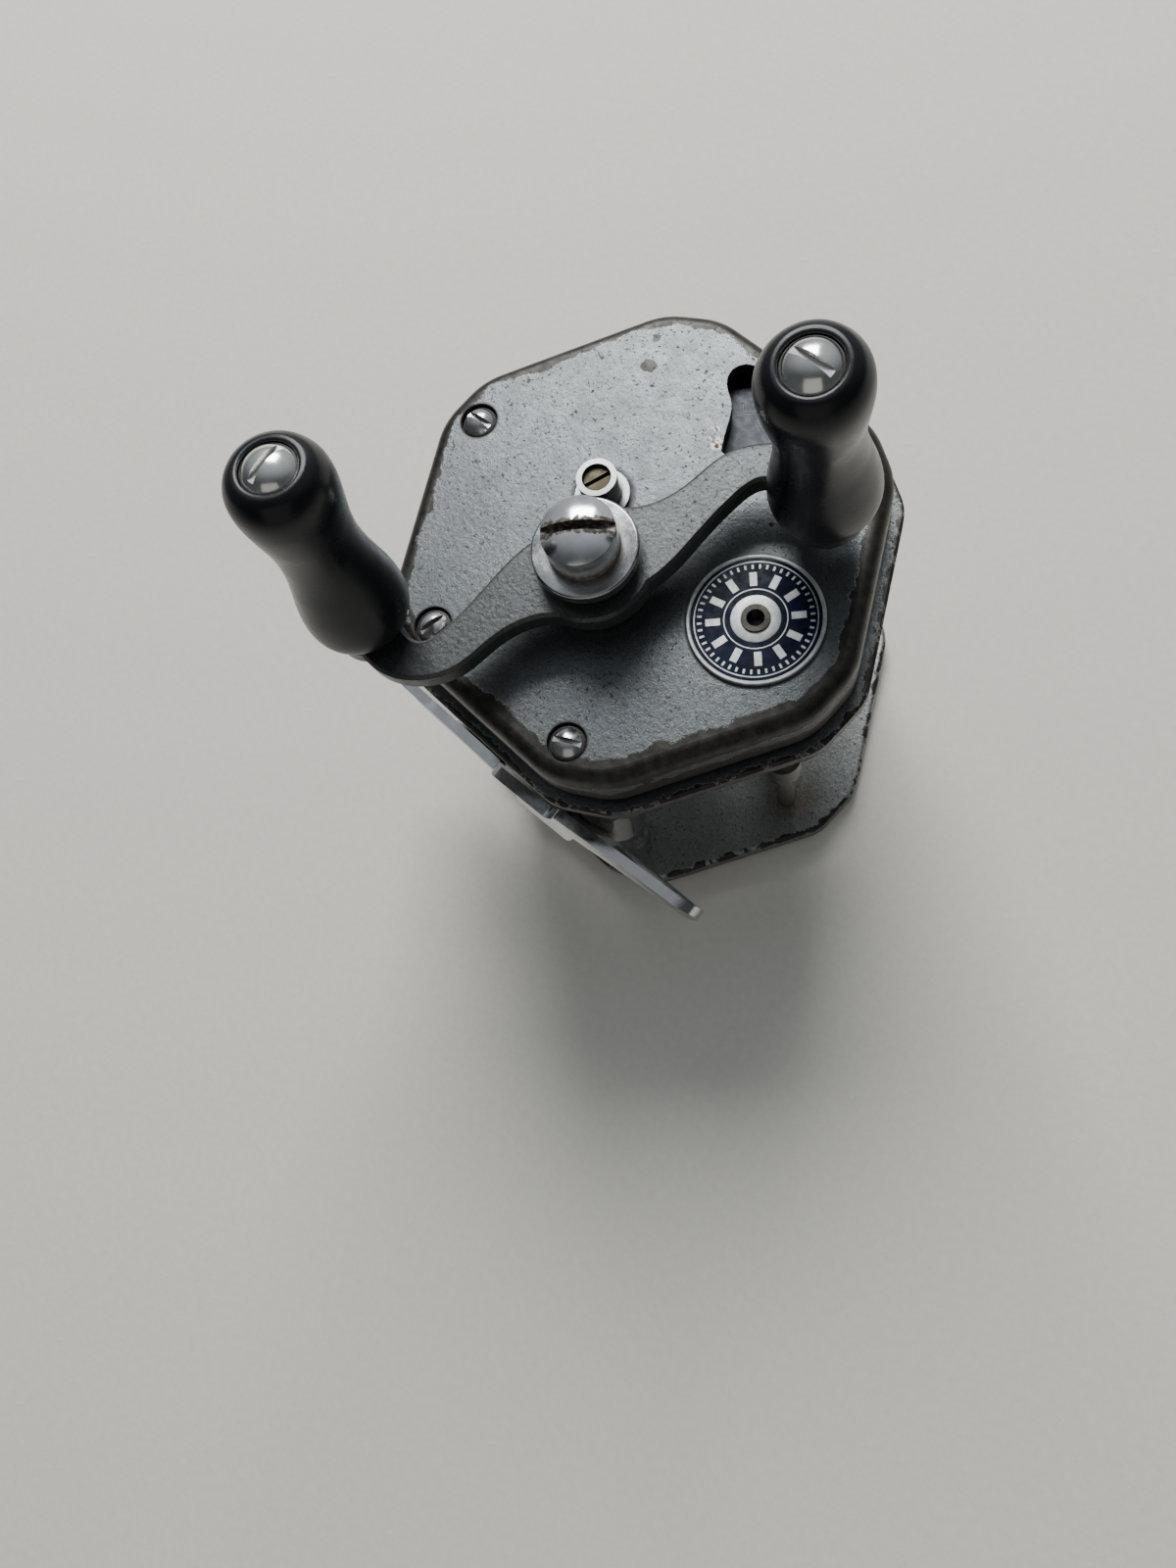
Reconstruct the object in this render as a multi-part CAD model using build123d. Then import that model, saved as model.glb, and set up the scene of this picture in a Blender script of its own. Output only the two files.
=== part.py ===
"""Multiplying (bait-casting) fishing reel, as an assembly of separate named pieces.

Millimetres. +Z runs along the spindles, up to the crank side. The origin lies on the outer face of
the tail plate, on the axis of the twelve-sided plates. The rod foot is at -Y and the line leaves at +X.
"""
import math
import os

from build123d import *

os.makedirs("parts", exist_ok=True)

# Plate outlines: six long sides at FLAT from the axis, six short corner sides at CORNER from it
COVER_FLAT, COVER_CORNER = 34.0, 36.7
PLATE_FLAT, PLATE_CORNER = 35.8, 38.5
COVER_ROUND, PLATE_ROUND = 11.0, 8.0
COVER_EDGE = 2.1

# Heights of the layers above the rest face
TAIL_TOP = 4.0
HEAD_LOW, HEAD_HIGH = 51.5, 54.0
COVER_LOW, COVER_INSIDE, COVER_TOP = 55.5, 62.0, 64.0
GEAR_LOW, GEAR_HIGH = 56.6, 59.2
COVER_WALL = 2.0
RUNNING = 0.05

# Axes in plan
CRANK = (1.7, -8.85)
SPOOL = (-8.0, 1.6)
WORM = (21.7, 1.2)
GUIDE_BAR = (30.4, -4.6)
REGULATOR = (1.5, 21.2)
DOG = (-11.2, -14.6)
PILLAR_CIRCLE = 31.6
PILLARS = {"pillar_rear": 182, "foot_pillar_rear": 245, "foot_pillar_front": 296, "pillar_top": 62}
PILLAR_RADIUS = 2.5

# Gear train
MODULE = 0.5
MAIN_TEETH, PINION_TEETH, IDLER_TEETH, WORM_TEETH = 45, 12, 20, 20
RATCHET_TEETH, CLICK_TEETH = 16, 24

# Spool
SPOOL_LOW, SPOOL_HIGH = 8.0, 46.5
FLANGE_RADIUS, FLANGE_THICK, ARBOR_RADIUS = 20.5, 1.5, 8.0
SPINDLE_RADIUS = 1.5

# Crank and knobs
SHAFT_RADIUS, THREAD_RADIUS = 2.5, 2.0
ARM_LOW, ARM_HIGH = 69.7, 72.7
COLLAR_NECK, COLLAR_TOP, CAP_SHOULDER, CAP_DOME = ARM_HIGH + 2.4, ARM_HIGH + 4.2, ARM_HIGH + 8.9, 1.5
OIL_TOP = ARM_LOW - 0.3
HUB_RADIUS = 8.8
KNOB_REACH = (18.6, 25.9)
KNOB_LEAN = (0.0221, -0.0987)
KNOB_GAP = 0.4
KNOB_LENGTH = 35.0
KNOB_SCREW_RADIUS = 3.45
KNOB_PIN_RADIUS = 1.7

# Line guide
GUIDE_MIDDLE = 28.0
GUIDE_HALF = 4.5
WORM_RADIUS, WORM_JOURNAL = 3.0, 2.0
EYE_OFFSET, EYE_OUTER, EYE_INNER = 10.0, 5.2, 3.5

# Rod foot
FOOT_X, FOOT_Y = 3.8, -33.2
FOOT_MIDDLE = 28.0
FOOT_LENGTH = 67.0
FOOT_THICK = 1.6
FOOT_CURVE = 15.0
FOOT_SKEW = 3.5
SADDLE_LENGTH, SADDLE_WIDTH = 13.6, 17.4
RIVET_SPACING = 9.0


def save(solid, node):
    """Write one node to its own file."""
    solid.label = node
    export_step(solid, f"parts/{node}.step")


def rod(radius, low, high, at=(0, 0)):
    """A cylinder along Z from one height to another."""
    return Pos(at[0], at[1], low) * Cylinder(radius, high - low, align=(Align.CENTER, Align.CENTER, Align.MIN))


def tube(outer, inner, low, high, at=(0, 0)):
    """A cylinder with a through bore."""
    return rod(outer, low, high, at) - rod(inner, low - 1, high + 1, at)


def polar(radius, degrees, centre=(0, 0)):
    """A point at a radius and an angle from a centre."""
    angle = math.radians(degrees)
    return (centre[0] + radius * math.cos(angle), centre[1] + radius * math.sin(angle))


def direction(start, end):
    """The angle in degrees of the line from one point to another."""
    return math.degrees(math.atan2(end[1] - start[1], end[0] - start[0]))


def outline(flat, corner, rounding):
    """The twelve-sided face: a hexagon whose corners are cut square to their own direction."""
    half_side = (corner - flat * math.cos(math.radians(30))) / math.sin(math.radians(30))
    points = []
    for side in range(6):
        middle = 30 + 60 * side
        for along in (-half_side, half_side):
            points.append(polar(math.hypot(flat, along), middle + math.degrees(math.atan2(along, flat))))
    face = make_face(Polyline(*points, close=True))
    return fillet(face.vertices(), rounding)


def slab(flat, corner, low, high, rounding=COVER_ROUND):
    """A plate with the twelve-sided outline."""
    return Pos(0, 0, low) * extrude(outline(flat, corner, rounding), high - low)


def slot_cut(width, depth, top, degrees, at):
    """The bar that cuts a screwdriver slot across a head."""
    return Pos(at[0], at[1], top - depth / 2) * Rot(0, 0, degrees) * Box(30, width, depth)


def toothed_wheel(teeth, low, high, phase, bore, at):
    """A spur gear with straight-sided teeth that are thinner than half the pitch."""
    pitch = 360 / teeth
    pitch_radius = MODULE * teeth / 2
    root, tip = pitch_radius - 1.2 * MODULE, pitch_radius + 0.8 * MODULE
    points = []
    for tooth in range(teeth):
        centre = phase + tooth * pitch
        points += [polar(root, centre - 0.27 * pitch), polar(tip, centre - 0.10 * pitch)]
        points += [polar(tip, centre + 0.10 * pitch), polar(root, centre + 0.27 * pitch)]
    wheel = extrude(make_face(Polyline(*points, close=True)), high - low)
    return Pos(at[0], at[1], low) * wheel - rod(bore, low - 1, high + 1, at)


def saw_wheel(teeth, tip, root, low, high, phase, bore, at):
    """A ratchet wheel: each tooth has one radial face and one sloping back."""
    pitch = 360 / teeth
    points = []
    for tooth in range(teeth):
        points += [polar(root, phase + tooth * pitch), polar(tip, phase + tooth * pitch)]
    wheel = extrude(make_face(Polyline(*points, close=True)), high - low)
    return Pos(at[0], at[1], low) * wheel - rod(bore, low - 1, high + 1, at)


def mesh_phase(angle, phase, teeth, next_teeth):
    """The phase that puts a gap of the next wheel on a tooth of this one, across their centres."""
    past_tooth = (angle - phase) % (360 / teeth)
    return angle + 180 + past_tooth * teeth / next_teeth + 180 / next_teeth


def round_head(radius, height, base, at, slot_angle, slot_width, slot_depth):
    """A domed screw head with a slot."""
    curve = (radius ** 2 + height ** 2) / (2 * height)
    ball = Pos(at[0], at[1], base + height - curve) * Sphere(curve)
    head = ball & rod(radius, base, base + height, at)
    return head - slot_cut(slot_width, 2 * slot_depth, base + height + slot_depth, slot_angle, at)


def idler_centre():
    """Where the idler meshes with both the main gear and the worm gear, on the foot side."""
    to_main = MODULE * (MAIN_TEETH + IDLER_TEETH) / 2
    to_worm = MODULE * (WORM_TEETH + IDLER_TEETH) / 2
    span = math.dist(CRANK, WORM)
    along = (span ** 2 + to_main ** 2 - to_worm ** 2) / (2 * span)
    away = math.degrees(math.acos(along / to_main))
    return polar(to_main, direction(CRANK, WORM) - away, CRANK)


IDLER = idler_centre()
PILLAR_POINTS = {name: polar(PILLAR_CIRCLE, angle) for name, angle in PILLARS.items()}
SCREW_HOLE = 1.6
HEAD_BUSH, DRIVE_BUSH, WORM_BUSH, IDLER_PIN, STUB = 3.5, 4.2, 4.0, 1.5, 1.5


# ---------------------------------------------------------------- frame and casings

def window_face():
    """The finger window over the regulator dial: a round lobe that widens to a square foot."""
    left = Spline((-7.0, 28.0), (-5.9, 25.7), (-3.4, 23.9), (-1.6, 21.2), (0.6, 17.3))
    foot = Line((0.6, 17.3), (9.0, 16.6))
    right = Spline((9.0, 16.6), (8.8, 22.0), (4.0, 27.0), (-3.2, 30.3))
    lobe = ThreePointArc((-3.2, 30.3), (-5.6, 30.2), (-7.0, 28.0))
    return make_face(Curve() + [left, foot, right, lobe])


def cover():
    """The gear cover: a shallow shell that seats on the head plate's rim."""
    shell = slab(COVER_FLAT, COVER_CORNER, COVER_LOW, COVER_TOP)
    shell = fillet(shell.faces().sort_by(Axis.Z)[-1].edges(), COVER_EDGE)
    inside = slab(COVER_FLAT - COVER_WALL, COVER_CORNER - COVER_WALL, COVER_LOW - 1, COVER_INSIDE)
    shell -= inside
    for point in PILLAR_POINTS.values():
        boss = rod(3.9, COVER_LOW, COVER_INSIDE, point) & slab(COVER_FLAT, COVER_CORNER, COVER_LOW, COVER_TOP)
        shell += boss
        shell -= rod(SCREW_HOLE, COVER_LOW - 1, COVER_TOP + 1, point)
        shell -= rod(2.85, COVER_TOP - 1.1, COVER_TOP + 1, point)
    shell -= Pos(0, 0, COVER_INSIDE - 1) * extrude(window_face(), 5)
    shell -= rod(4.5, COVER_INSIDE - 1, COVER_TOP + 1, CRANK)
    shell -= rod(2.4, COVER_INSIDE - 1, COVER_TOP + 1, SPOOL)
    return shell - rod(1.6, COVER_INSIDE - 1, COVER_TOP + 1, WORM)


def head_plate():
    """The plate under the cover, with a rim that the cover seats on and holes for every spindle."""
    plate = slab(PLATE_FLAT, PLATE_CORNER, HEAD_LOW, HEAD_HIGH, PLATE_ROUND)
    rim = slab(33.0, 35.7, HEAD_HIGH, COVER_LOW) - slab(30.4, 33.1, HEAD_HIGH - 1, COVER_LOW + 1)
    plate = chamfer(plate.faces().sort_by(Axis.Z)[-1].edges(), 0.4) + rim
    for point in PILLAR_POINTS.values():
        plate -= rod(SCREW_HOLE, HEAD_LOW - 1, COVER_LOW + 1, point)
    holes = [(HEAD_BUSH, SPOOL), (DRIVE_BUSH, CRANK), (WORM_BUSH, WORM), (IDLER_PIN, IDLER)]
    holes += [(STUB + RUNNING, REGULATOR), (1.2, DOG), (1.5, GUIDE_BAR)]
    for radius, point in holes:
        plate -= rod(radius, HEAD_LOW - 1, COVER_LOW + 1, point)
    return plate


def tail_plate():
    """The flat plate that the reel rests on, with pockets for the bearing cap, the screws and the click button."""
    plate = slab(PLATE_FLAT, PLATE_CORNER, 0, TAIL_TOP, PLATE_ROUND)
    plate = fillet(plate.faces().sort_by(Axis.Z)[-1].edges(), 0.8)
    plate = chamfer(plate.faces().sort_by(Axis.Z)[0].edges(), 0.5)
    for point in PILLAR_POINTS.values():
        plate -= rod(SCREW_HOLE, -1, TAIL_TOP + 1, point)
        plate -= rod(3.0, -1, 1.9, point)
    plate -= rod(5.6, -1, 1.8, SPOOL) + rod(HEAD_BUSH, 0, TAIL_TOP + 1, SPOOL)
    plate -= rod(WORM_BUSH - 0.5, 1.5, TAIL_TOP + 1, WORM)
    plate -= rod(1.5, 2.0, TAIL_TOP + 1, GUIDE_BAR)
    place = click_place(CLICK_MIDDLE)
    plate -= place * Pos(0, 0, 0.4) * Box(12.0, 7.6, 2.8)
    return plate - place * Pos(-0.8, 0, TAIL_TOP / 2) * Box(6.4, 3.4, TAIL_TOP + 2)


def pillar(point):
    """A turned post between the plates, tapped at both ends."""
    post = rod(PILLAR_RADIUS, TAIL_TOP, HEAD_LOW, point)
    post += rod(PILLAR_RADIUS + 0.8, TAIL_TOP, TAIL_TOP + 1.5, point)
    post += rod(PILLAR_RADIUS + 0.8, HEAD_LOW - 1.5, HEAD_LOW, point)
    return post - rod(1.25, TAIL_TOP - 1, TAIL_TOP + 9, point) - rod(1.25, HEAD_LOW - 9, HEAD_LOW + 1, point)


def cover_screw(point, slot_angle):
    """A round-head screw in the cover's counterbore, down into its pillar."""
    base = COVER_TOP - 1.1
    head = round_head(2.7, 2.0, base, point, slot_angle, 0.8, 0.9)
    return head + rod(1.2, HEAD_LOW - 8, base, point)


def tail_screw(point):
    """A cheese-head screw under the tail plate, clear of the rest face."""
    head = rod(2.6, 0.4, 1.9, point) - slot_cut(0.7, 1.6, 0.9, 30, point)
    return head + rod(1.2, 1.9, TAIL_TOP + 8, point)


# ---------------------------------------------------------------- rod foot

def foot_place():
    """The foot's own place: its middle on the frame, turned a little from square as on a worn reel."""
    return Pos(FOOT_X, FOOT_Y, FOOT_MIDDLE) * Rot(0, 0, FOOT_SKEW)


def foot_outline():
    """Seen from the rod: a wide saddle in the middle of two tapering blades with round tips."""
    half = FOOT_LENGTH / 2
    blade = make_face(
        Polyline((6, 7.6), (half, 4.6), (half, -4.6), (6, -7.6), (-6, -7.6), (-half, -4.6), (-half, 4.6), (-6, 7.6),
                 close=True))
    blade = fillet(blade.vertices(), 4.4)
    return blade + RectangleRounded(SADDLE_LENGTH, SADDLE_WIDTH, 1.5)


def foot():
    """The pressed foot plate, curved to sit on a rod handle."""
    body = Rot(90, 0, 0) * extrude(foot_outline(), 6, both=True)
    bar = Rot(0, 90, 0) * Cylinder(FOOT_CURVE, 90) - Rot(0, 90, 0) * Cylinder(FOOT_CURVE - FOOT_THICK, 92)
    plate = body & (Pos(0, -FOOT_CURVE, 0) * bar)
    for across in (-RIVET_SPACING / 2, RIVET_SPACING / 2):
        plate -= Pos(across, 0, 0) * Rot(90, 0, 0) * Cylinder(1.3, 20)
    return foot_place() * plate


def foot_bracket():
    """The casting that clasps the two foot pillars and carries the foot plate."""
    front, rear = PILLAR_POINTS["foot_pillar_front"], PILLAR_POINTS["foot_pillar_rear"]
    low, high = FOOT_MIDDLE - 7, FOOT_MIDDLE + 7
    body = rod(4.8, low, high, front) + rod(4.8, low, high, rear)
    body += Pos(0, -29.6, FOOT_MIDDLE) * Box(27.0, 5.4, 12.0)
    body += Pos(FOOT_X, -31.8, FOOT_MIDDLE) * Box(SADDLE_LENGTH, 3.4, 12.0)
    body -= rod(PILLAR_RADIUS, low - 1, high + 1, front) + rod(PILLAR_RADIUS, low - 1, high + 1, rear)
    keep_out = foot_place() * Pos(0, -FOOT_CURVE, 0) * Rot(0, 90, 0) * Cylinder(FOOT_CURVE, 90)
    body -= keep_out
    for across in (-RIVET_SPACING / 2, RIVET_SPACING / 2):
        body -= foot_place() * Pos(across, 0, 0) * Rot(90, 0, 0) * Cylinder(1.3, 20)
    return body


def foot_rivet(across):
    """A countersunk rivet through the foot plate and the bracket."""
    shank = Pos(across, 3.0, 0) * Rot(90, 0, 0) * Cylinder(1.25, 9.6)
    head = Pos(across, 7.9, 0) * Rot(90, 0, 0) * Cylinder(2.3, 0.8)
    return foot_place() * (shank + head)


# ---------------------------------------------------------------- spool

def spool():
    """The spool: two dished flanges on an arbor, bored for its spindle."""
    body = rod(ARBOR_RADIUS, SPOOL_LOW, SPOOL_HIGH, SPOOL)
    for low in (SPOOL_LOW, SPOOL_HIGH - FLANGE_THICK):
        flange = rod(FLANGE_RADIUS, low, low + FLANGE_THICK, SPOOL)
        body += fillet(flange.edges(), 0.5)
    body += rod(4.0, SPOOL_HIGH, SPOOL_HIGH + 1.8, SPOOL)
    recess = tube(17.5, 10.0, SPOOL_HIGH - 0.7, SPOOL_HIGH + 0.5, SPOOL)
    return body - recess - rod(SPINDLE_RADIUS, 0, SPOOL_HIGH + 5, SPOOL)


def spool_spindle():
    """The steel spindle, from the tail cap to the oil tube."""
    return chamfer(rod(SPINDLE_RADIUS, 2.1, 63.4, SPOOL).edges(), 0.3)


def spool_pinion():
    """The brass pinion that the main gear drives."""
    phase = mesh_phase(direction(CRANK, SPOOL), direction(CRANK, SPOOL), MAIN_TEETH, PINION_TEETH)
    return toothed_wheel(PINION_TEETH, GEAR_LOW - 0.4, GEAR_HIGH + 0.5, phase, SPINDLE_RADIUS, SPOOL)


CLICK_ANGLE = 200
CLICK_MIDDLE = 15.5
CLICK_TRAVEL = 1.6
CLICK_TIP, CLICK_ROOT = 9.0, 7.5


def click_wheel():
    """The toothed wheel under the spool that the click pawl rides on, a gap towards the pawl."""
    pitch = 360 / CLICK_TEETH
    points = []
    for tooth in range(CLICK_TEETH):
        centre = CLICK_ANGLE + (tooth + 0.5) * pitch
        points += [polar(CLICK_ROOT, centre - 0.32 * pitch), polar(CLICK_TIP, centre - 0.10 * pitch)]
        points += [polar(CLICK_TIP, centre + 0.10 * pitch), polar(CLICK_ROOT, centre + 0.32 * pitch)]
    wheel = Pos(SPOOL[0], SPOOL[1], 6.5) * extrude(make_face(Polyline(*points, close=True)), SPOOL_LOW - 6.5)
    return wheel - rod(SPINDLE_RADIUS, 6, 9, SPOOL)


def click_place(distance):
    """A place on the click slide's line, with X pointing away from the spool."""
    point = polar(distance, CLICK_ANGLE, SPOOL)
    return Pos(point[0], point[1], 0) * Rot(0, 0, CLICK_ANGLE)


def click_button():
    """The finger button in the tail plate's pocket, with the stem that carries the pawl."""
    button = Pos(0, 0, 1.05) * Box(7.0, 6.6, 1.0)
    for groove in (-2.0, 0.0, 2.0):
        button -= Pos(groove, 0, 0.55) * Box(0.6, 8, 0.5)
    stem = Pos(0, 0, 3.0) * Box(3.0, 3.0, 3.0)
    return click_place(CLICK_MIDDLE) * (button + stem)


def click_pawl():
    """The pawl on the stem, its tip just clear of the click wheel at rest."""
    tip = -(CLICK_MIDDLE - CLICK_TIP - 0.4)
    shape = make_face(Polyline((2.5, 2.0), (2.5, -2.0), (-2.5, -2.0), (tip, -0.3), (tip, 0.3), (-2.5, 2.0), close=True))
    blade = Pos(0, 0, 6.4) * extrude(shape, 1.2)
    return click_place(CLICK_MIDDLE) * (blade + Pos(0, 0, 5.45) * Box(3.0, 3.0, 1.9))


def tail_cap():
    """The slotted cap that carries the spindle's tail end."""
    return rod(5.2, 0.4, 1.8, SPOOL) - slot_cut(1.0, 1.6, 1.0, 15, SPOOL)


# ---------------------------------------------------------------- crank

def drive_shaft():
    """The crank's shaft: a bearing part, a shoulder for the crank, and a threaded end."""
    shaft = rod(SHAFT_RADIUS, HEAD_LOW - 2.5, ARM_HIGH, CRANK)
    return shaft + rod(THREAD_RADIUS, ARM_HIGH, CAP_SHOULDER - 0.9, CRANK)


def arm_face():
    """One arm from the hub: it leaves tangentially, runs straight, then sweeps out to the knob."""
    x, y = KNOB_REACH
    outer = Spline((-4.5, 7.5), (0.2, 11.0), (2.3, 16.5), (3.2, 22.5), (6.3, 27.3), (x - 3.4, y + 4.2))
    tip = ThreePointArc((x - 3.4, y + 4.2), (x + 5.4, y), (x - 4.8, y - 2.5))
    inner = Spline((x - 4.8, y - 2.5), (9.9, 22.9), (8.9, 19.0), (8.8, 13.0), (8.3, 2.6))
    root = Polyline((8.3, 2.6), (0, 0), (-4.5, 7.5))
    return make_face(Curve() + [outer, tip, inner, root])


def crank_arm():
    """The S-shaped double arm, bored for the shaft and for the knob pins."""
    plan = Circle(HUB_RADIUS) + arm_face() + Rot(0, 0, 180) * arm_face()
    arm = extrude(plan, ARM_HIGH - ARM_LOW)
    arm = chamfer(arm.faces().sort_by(Axis.Z)[-1].edges(), 0.5)
    arm = Pos(CRANK[0], CRANK[1], ARM_LOW) * arm + rod(6.6, ARM_LOW - 1.5, ARM_LOW, CRANK)
    arm -= rod(SHAFT_RADIUS, ARM_LOW - 3, ARM_HIGH + 3, CRANK)
    for side in (1, -1):
        arm -= knob_place(side) * Pos(0, 0, -5) * Cylinder(KNOB_PIN_RADIUS, 12)
    return arm


def crank_collar():
    """The plated collar that clamps the arm: a neck with a wide flange above it."""
    neck = rod(5.6, ARM_HIGH, COLLAR_NECK, CRANK)
    flange = fillet(rod(7.3, COLLAR_NECK - 0.2, COLLAR_TOP, CRANK).edges(), 0.35)
    return neck + flange - rod(THREAD_RADIUS, ARM_HIGH - 1, COLLAR_TOP + 1, CRANK)


def crank_cap_screw():
    """The tall slotted nut on the end of the shaft, with a low dome."""
    body = rod(4.93, COLLAR_TOP, CAP_SHOULDER, CRANK)
    body += round_head(4.93, CAP_DOME, CAP_SHOULDER, CRANK, 44, 1.3, CAP_DOME)
    body -= slot_cut(1.3, 2.0, CAP_SHOULDER + 1.7, 44, CRANK)
    return body - rod(THREAD_RADIUS, COLLAR_TOP - 1, CAP_SHOULDER - 0.7, CRANK)


def knob_place(side):
    """The place and lean of a knob: 1 is the front knob, -1 the rear one."""
    x, y = CRANK[0] + side * KNOB_REACH[0], CRANK[1] + side * KNOB_REACH[1]
    lean = Vector(side * KNOB_LEAN[0], side * KNOB_LEAN[1], 1).normalized()
    return Location(Plane(origin=(x, y, ARM_HIGH), x_dir=(1, 0, -lean.X / lean.Z), z_dir=lean))


def knob(side):
    """A turned knob: a fat base, a waist and a round head with a recess for its screw."""
    low = KNOB_GAP + 0.3
    top = low + KNOB_LENGTH - 0.6
    profile = Spline((5.2, low), (7.35, low + 3.8), (6.4, low + 10.5), (5.45, low + 18.5), (6.15, low + 26.0),
                     (6.5, low + 29.8), (4.0, top))
    edge = Polyline((4.0, top), (0, top), (0, low), (5.2, low))
    body = revolve(Plane.XZ * make_face(Curve() + [profile, edge]), Axis.Z)
    body -= Pos(0, 0, low + KNOB_LENGTH - 0.4) * Cylinder(KNOB_SCREW_RADIUS + 0.12, 2.4)
    body -= Pos(0, 0, 20) * Cylinder(KNOB_PIN_RADIUS + RUNNING, 60)
    return knob_place(side) * body


def knob_screw(side, slot_angle):
    """The knob's pin, riveted in the arm, with a big domed slotted head."""
    base = KNOB_GAP + KNOB_LENGTH - 1.2
    pin = rod(KNOB_PIN_RADIUS, -ARM_HIGH + ARM_LOW + 0.5, base + 0.5)
    shoulder = rod(2.6, 0.25, KNOB_GAP + 0.15)
    head = round_head(KNOB_SCREW_RADIUS, 1.9, base + 0.4, (0, 0), slot_angle, 0.9, 1.0)
    return knob_place(side) * (pin + shoulder + head)


# ---------------------------------------------------------------- gears inside the cover

def main_gear():
    """The large brass gear on the drive shaft."""
    phase = direction(CRANK, SPOOL)
    wheel = toothed_wheel(MAIN_TEETH, GEAR_LOW, GEAR_HIGH, phase, SHAFT_RADIUS, CRANK)
    for spoke in range(6):
        wheel -= rod(1.5, GEAR_LOW - 1, GEAR_HIGH + 1, polar(7.6, 60 * spoke, CRANK))
    return wheel


def idler_phase():
    return mesh_phase(direction(CRANK, IDLER), direction(CRANK, SPOOL), MAIN_TEETH, IDLER_TEETH)


def idler_gear():
    """The idler that carries the drive across to the worm."""
    return toothed_wheel(IDLER_TEETH, GEAR_LOW, GEAR_HIGH, idler_phase(), IDLER_PIN + RUNNING, IDLER)


def worm_gear():
    """The gear on the worm's head end."""
    phase = mesh_phase(direction(IDLER, WORM), idler_phase(), IDLER_TEETH, WORM_TEETH)
    return toothed_wheel(WORM_TEETH, GEAR_LOW, GEAR_HIGH, phase, WORM_JOURNAL, WORM)


def idler_pin():
    """The fixed pin that the idler turns on, with a collar under it."""
    return rod(IDLER_PIN, HEAD_LOW, GEAR_HIGH + 1, IDLER) + rod(3.0, HEAD_HIGH, GEAR_LOW - 0.3, IDLER)


RATCHET_TIP, RATCHET_ROOT = 7.4, 6.3
RATCHET_LOW, RATCHET_HIGH = 54.7, 56.1


def ratchet_wheel():
    """The anti-reverse ratchet on the drive shaft, under the main gear."""
    phase = direction(CRANK, DOG)
    return saw_wheel(RATCHET_TEETH, RATCHET_TIP, RATCHET_ROOT, RATCHET_LOW, RATCHET_HIGH, phase, SHAFT_RADIUS, CRANK)


def dog_place():
    """The dog's pin, with X pointing at the crank shaft."""
    return Pos(DOG[0], DOG[1], 0) * Rot(0, 0, direction(DOG, CRANK))


def anti_reverse_dog():
    """The dog on its pin, lifted clear of the ratchet at rest."""
    reach = math.dist(DOG, CRANK)
    nose = reach - RATCHET_TIP
    shape = make_face(Polyline((0, -2.0), (nose - 1.0, -3.0), (nose + 0.6, -5.2), (nose - 1.6, -5.6), (-1.0, -2.4),
                               close=True))
    dog = Pos(0, 0, RATCHET_LOW) * extrude(shape, RATCHET_HIGH - RATCHET_LOW)
    dog += rod(2.6, RATCHET_LOW, RATCHET_HIGH)
    return dog_place() * (dog - rod(1.2 + RUNNING, RATCHET_LOW - 1, RATCHET_HIGH + 1))


def dog_pin():
    """The pin that the dog swings on, with a head over it."""
    return rod(1.2, HEAD_LOW, RATCHET_HIGH + 0.3, DOG) + rod(2.2, RATCHET_HIGH + 0.3, RATCHET_HIGH + 1.0, DOG)


# ---------------------------------------------------------------- regulator

DIAL_LOW, DIAL_HIGH, DIAL_RADIUS = 59.4, 60.8, 9.9
TAB_POINT = (6.0, 20.4)


def regulator_dial():
    """The dial under the window, on a stub that turns in the head plate, with a finger tab."""
    dial = fillet(rod(DIAL_RADIUS, DIAL_LOW, DIAL_HIGH, REGULATOR).edges(), 0.3)
    dial += rod(STUB, HEAD_LOW + 0.2, DIAL_LOW + 0.5, REGULATOR) + rod(3.2, HEAD_HIGH + 0.2, 56.0, REGULATOR)
    return dial + rod(1.3, DIAL_HIGH - 0.5, COVER_TOP + 1.4, TAB_POINT)


# ---------------------------------------------------------------- level wind

def worm_shaft():
    """The level-wind worm between its journals; its crossed groove is cut shallow in the surface."""
    return rod(WORM_RADIUS, 6.5, 49.0, WORM) + rod(WORM_JOURNAL, 1.9, 61.2, WORM)


def line_guide():
    """The carriage: a sleeve on the worm, an ear on the guide bar and the line eye above."""
    low, high = GUIDE_MIDDLE - GUIDE_HALF, GUIDE_MIDDLE + GUIDE_HALF
    body = rod(4.8, low, high, WORM)
    ear = rod(2.9, low + 1, high - 1, GUIDE_BAR)
    middle = ((WORM[0] + GUIDE_BAR[0]) / 2, (WORM[1] + GUIDE_BAR[1]) / 2)
    link = Pos(middle[0], middle[1], GUIDE_MIDDLE) * Rot(0, 0, direction(WORM, GUIDE_BAR)) * Box(7.0, 3.6, 7.0)
    eye_y = WORM[1] + EYE_OFFSET
    post = Pos(WORM[0], WORM[1] + 4.9, GUIDE_MIDDLE) * Box(3.0, 2.4, 6.0)
    eye = Pos(WORM[0], eye_y, GUIDE_MIDDLE) * Rot(0, 90, 0) * Cylinder(EYE_OUTER, 3.0)
    boss = Pos(WORM[0], WORM[1] - 4.6, GUIDE_MIDDLE) * Rot(90, 0, 0) * Cylinder(2.7, 2.6)
    body += ear + link + post + fillet(eye.edges(), 0.7) + boss
    body -= rod(WORM_RADIUS + RUNNING, low - 1, high + 1, WORM) + rod(1.5 + RUNNING, low, high, GUIDE_BAR)
    body -= Pos(WORM[0], eye_y, GUIDE_MIDDLE) * Rot(0, 90, 0) * Cylinder(EYE_INNER, 8)
    return body - Pos(WORM[0], WORM[1] - 5, GUIDE_MIDDLE) * Rot(90, 0, 0) * Cylinder(1.5, 6)


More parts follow.
